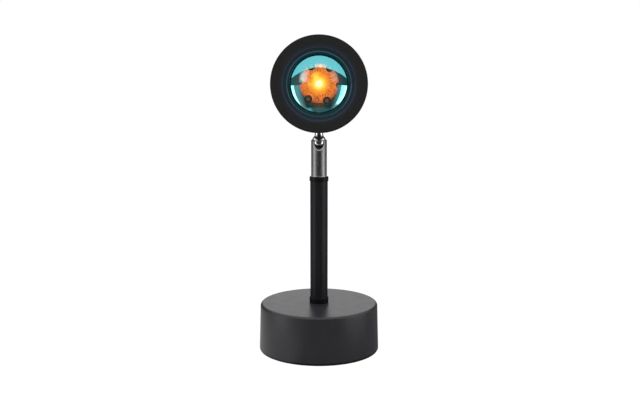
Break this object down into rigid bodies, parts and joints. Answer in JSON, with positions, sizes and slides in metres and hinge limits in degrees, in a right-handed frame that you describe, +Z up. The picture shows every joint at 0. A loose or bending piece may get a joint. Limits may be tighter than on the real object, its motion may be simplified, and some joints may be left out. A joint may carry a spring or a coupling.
{
  "type": "sunset projection lamp",
  "caption": "Table lamp that projects a sunset glow: weighted round base, slim stem, slotted ball joint, and a drum-shaped head with a domed coated lens that pans, tilts and turns.",
  "frame": {"origin": "centre of the foot pad's underside, on the stem's axis", "axes": "+Z up along the stem; the lens faces -Y and the supply gland is at +Y; +X is to the right as seen from the front"},
  "size_m": [0.0934, 0.0937, 0.2425],
  "materials": {
    "painted_metal_black": "fine matte powder coat with a soft sheen",
    "cast_iron": "rough cast, unpainted",
    "plated_steel": "zinc plated",
    "black_rubber": "matte moulded rubber",
    "driver_board": "green solder mask",
    "driver_parts": "moulded component cases",
    "white_nylon": "natural nylon",
    "black_plastic": "satin moulded black plastic",
    "satin_steel": "satin chrome with fine streaks along its length",
    "polished_chrome": "polished",
    "lead_jacket": "smooth soft jacket",
    "coated_glass": "clear glass with a coating that reflects cyan and passes orange",
    "black_aluminium": "black anodised",
    "white_board": "aluminium core with white solder mask",
    "emitter": "silicone dome over a lit chip"
  },
  "bodies": {
    "stand": {"base_shell": "painted_metal_black", "counterweight": "cast_iron", "base_plate": "plated_steel", "foot_pad": "black_rubber", "base_screws": "plated_steel", "cord_gland": "black_rubber", "driver_board": "driver_board", "driver_parts": "driver_parts", "board_spacers": "white_nylon", "stem_tube": "plated_steel", "stem_washer": "plated_steel", "stem_nut": "plated_steel", "foot_collar": "black_plastic", "stem_sleeve": "painted_metal_black", "top_collar": "black_plastic", "swivel_nut": "plated_steel", "stem_lead": "lead_jacket"},
    "barrel": {"slotted_barrel": "satin_steel", "spring_seat": "plated_steel", "seat_spring": "plated_steel", "ball_seat": "black_plastic"},
    "ball": {"swivel_ball": "polished_chrome", "stud_washer": "plated_steel", "stud_nut": "plated_steel", "stud_lead": "lead_jacket"},
    "head": {"head_shell": "painted_metal_black", "front_bezel": "painted_metal_black", "lens_ring": "black_plastic", "lens_seal": "black_rubber", "lens": "coated_glass", "lens_retainer": "black_plastic", "light_baffle": "black_plastic", "heat_sink": "black_aluminium", "heat_sink_screws": "plated_steel", "led_board": "white_board", "led_screws": "plated_steel", "led_emitter": "emitter", "head_lead": "lead_jacket", "rear_cover": "painted_metal_black", "rear_screws": "plated_steel"}
  },
  "joints": [
    {"name": "barrel_pan", "type": "hinge", "parent": "stand", "child": "barrel", "pos_m": [0, 0, 0.1375], "axis": [0, 0, 1], "range_deg": [-170, 170]},
    {"name": "head_tilt", "type": "hinge", "parent": "barrel", "child": "ball", "pos_m": [0, 0, 0.1629], "axis": [1, 0, 0], "range_deg": [-20, 90]},
    {"name": "head_turn", "type": "hinge", "parent": "ball", "child": "head", "pos_m": [0, 0, 0.1725], "axis": [0, 0, 1], "range_deg": [-170, 170]}
  ]
}
